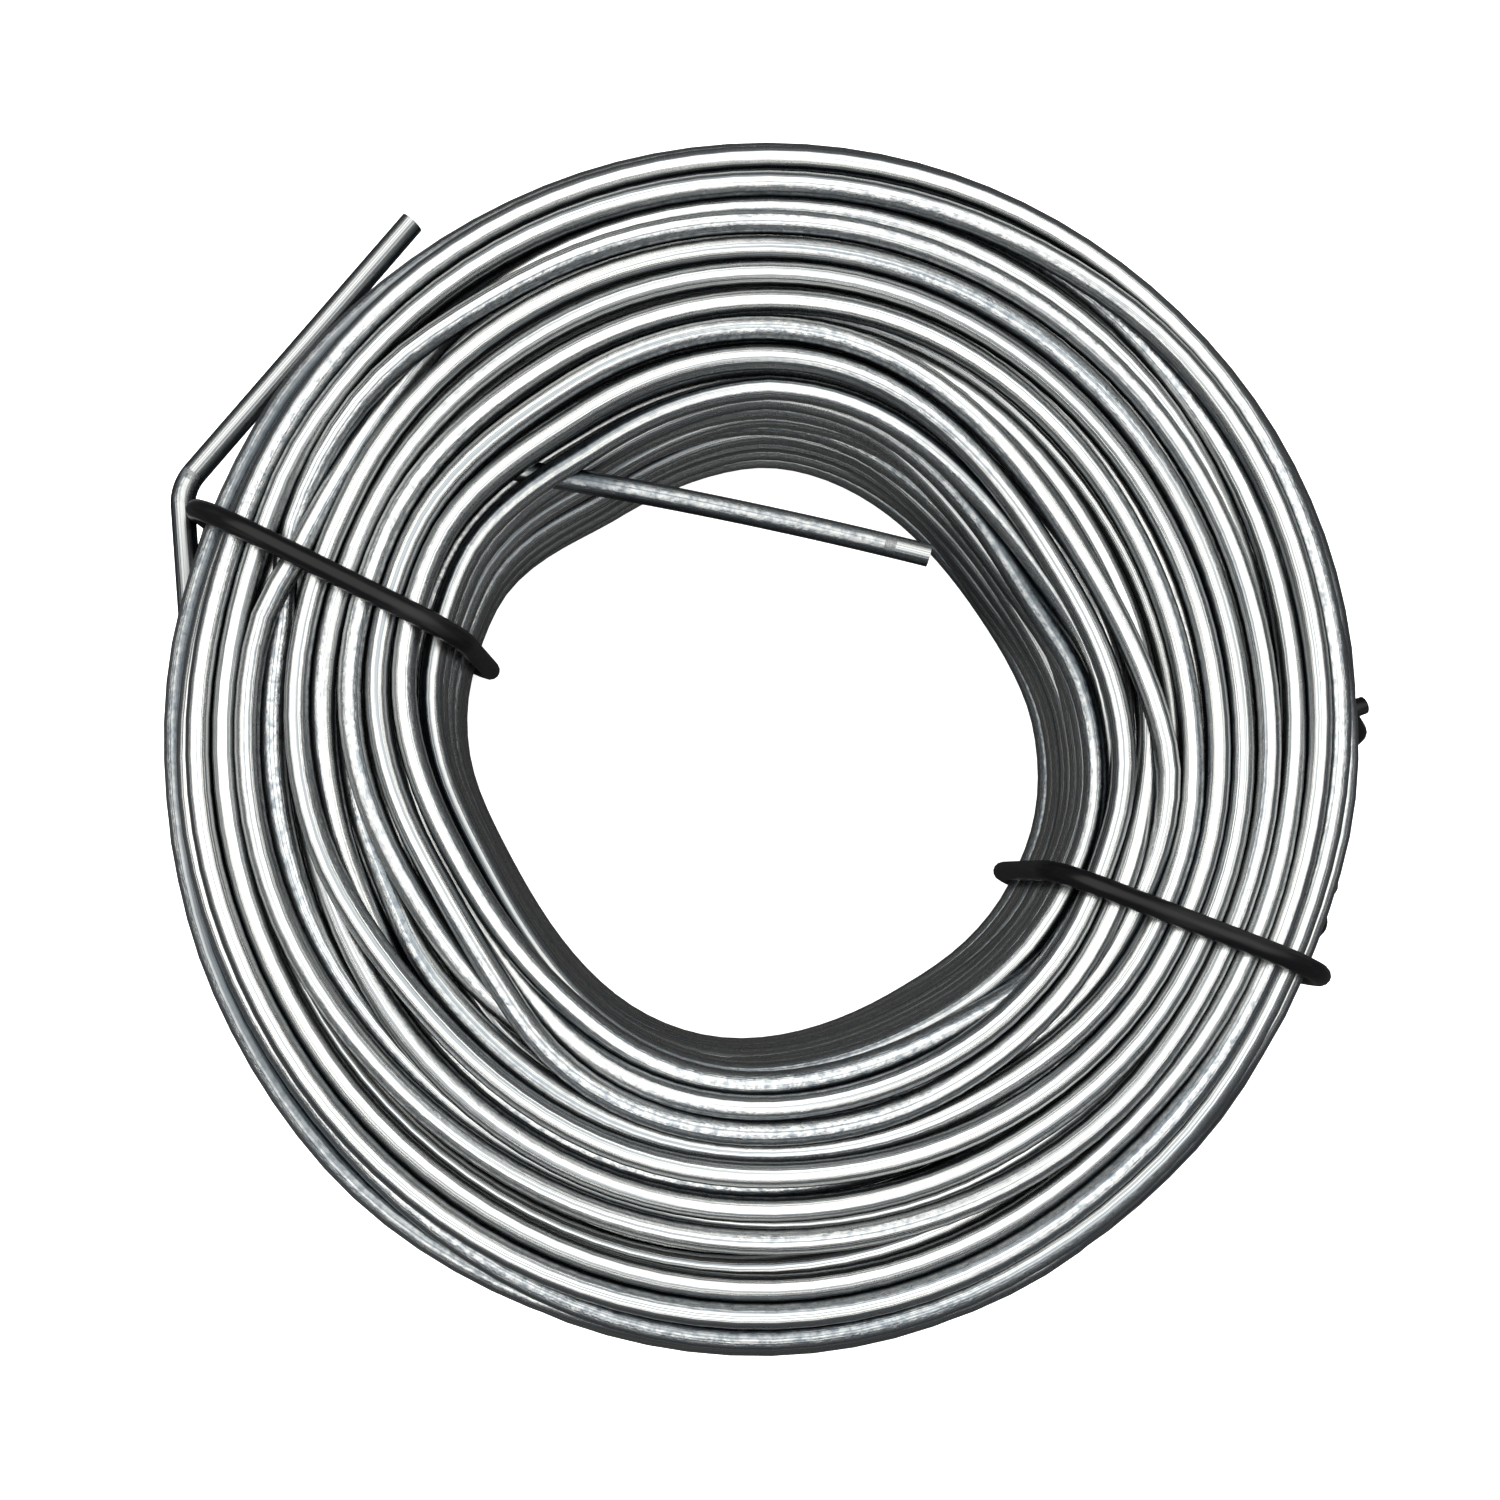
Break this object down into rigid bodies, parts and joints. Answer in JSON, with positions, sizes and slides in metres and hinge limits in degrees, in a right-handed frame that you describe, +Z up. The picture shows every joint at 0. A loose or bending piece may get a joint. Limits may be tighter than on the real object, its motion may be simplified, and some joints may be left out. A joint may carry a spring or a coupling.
{
  "type": "coil of tie wire",
  "caption": "Round coil of galvanised steel tie wire with rounded shoulders, held by black coated binding ties, with a bent outer end and an inner end across the bore.",
  "frame": {"origin": "on the coil's axis, on the floor that the coil lies on", "axes": "+Z up along the coil's axis, +X to the right and +Y away from the viewer as the coil lies in the picture"},
  "size_m": [0.1108, 0.1, 0.0258],
  "materials": {
    "galvanised_wire": "bright galvanised",
    "black_coating": "glossy black coating"
  },
  "bodies": {
    "root": {"wire_coil": "galvanised_wire", "tie_left": "black_coating", "tie_right": "black_coating"}
  },
  "joints": []
}
